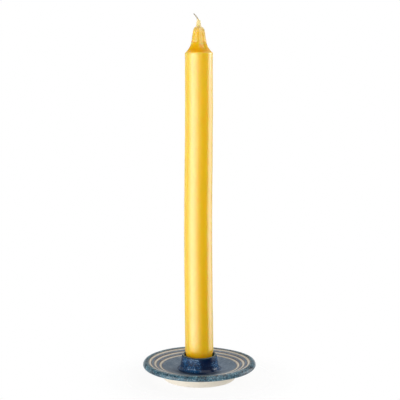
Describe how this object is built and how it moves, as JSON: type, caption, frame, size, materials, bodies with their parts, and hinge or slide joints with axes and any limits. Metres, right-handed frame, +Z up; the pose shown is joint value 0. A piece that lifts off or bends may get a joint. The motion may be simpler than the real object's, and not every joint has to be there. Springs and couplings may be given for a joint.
{
  "type": "candle in a saucer holder",
  "caption": "Straight moulded beeswax candle with a bell-shaped tip and a bent wick, standing in the raised socket of a round, glazed stoneware saucer holder.",
  "frame": {"origin": "centre of the foot ring's underside, on the table", "axes": "+Z up along the candle, -Y towards the viewer, the wick's free end leans towards -X"},
  "size_m": [0.089, 0.089, 0.2844],
  "materials": {
    "stoneware": "unglazed, cream",
    "navy_glaze": "gloss, mottled navy",
    "slate_glaze": "satin, slate blue",
    "teal_glaze": "gloss, speckled teal blue",
    "beeswax": "satin wax, golden yellow",
    "cotton": "braided, waxed"
  },
  "bodies": {
    "holder": {"saucer": "stoneware", "candle_socket": "stoneware", "socket_glaze": "navy_glaze", "well_glaze": "slate_glaze", "inner_band_glaze": "slate_glaze", "outer_band_glaze": "slate_glaze", "rim_glaze": "teal_glaze"},
    "candle": {"candle_wax": "beeswax", "wick": "cotton"},
    "wick_tip": {"wick_end": "cotton"}
  },
  "joints": [
    {"name": "candle_lift", "type": "slide", "parent": "holder", "child": "candle", "axis": [0, 0, 1], "range_m": [0, 0.04]},
    {"name": "wick_bend", "type": "hinge", "parent": "candle", "child": "wick_tip", "pos_m": [0, 0, 0.27975], "axis": [0, 1, 0], "range_deg": [-35, 65]}
  ]
}
